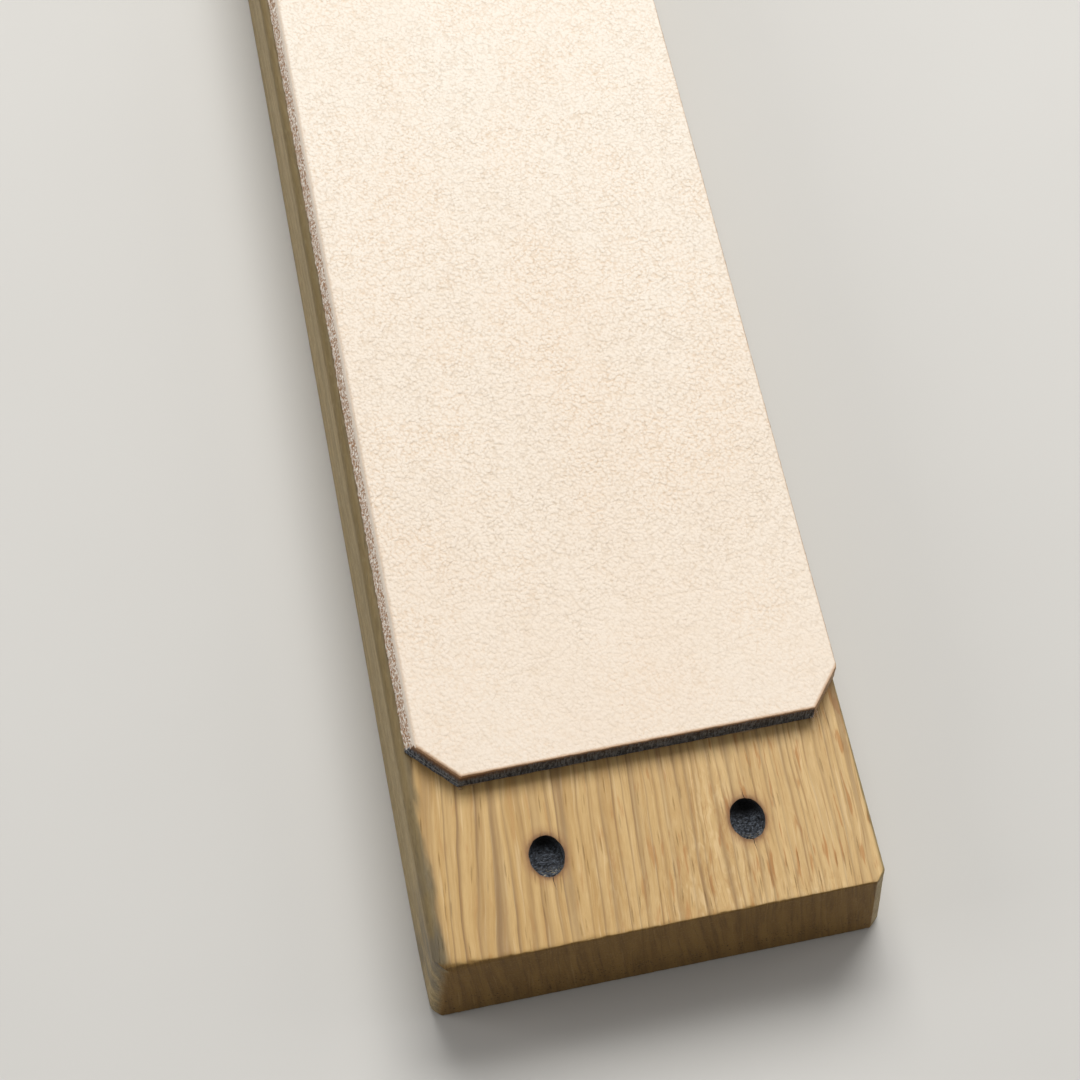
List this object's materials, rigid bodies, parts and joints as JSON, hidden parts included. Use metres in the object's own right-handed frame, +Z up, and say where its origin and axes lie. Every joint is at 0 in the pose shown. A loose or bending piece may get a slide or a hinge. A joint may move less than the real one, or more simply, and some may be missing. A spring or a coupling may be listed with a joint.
{
  "type": "leather strop",
  "caption": "Flat oak bar with a strip of smooth leather glued on top, for honing the edges of carving knives and gouges.",
  "frame": {"origin": "middle of the bar's underside, on the surface it rests on", "axes": "+Y along the bar away from the end with the marker dots, +X across the bar, +Z up through the leather"},
  "size_m": [0.05, 0.25, 0.016],
  "materials": {
    "oak": "bare planed and sawn oak, straight grained, with two charred marker dots",
    "glue": "dried contact adhesive, nearly hidden",
    "leather": "undyed vegetable-tanned leather, smooth grain side up, dark laser-cut ends"
  },
  "bodies": {
    "root": {"oak_bar": "oak", "glue_film": "glue", "leather_strip": "leather"}
  },
  "joints": []
}
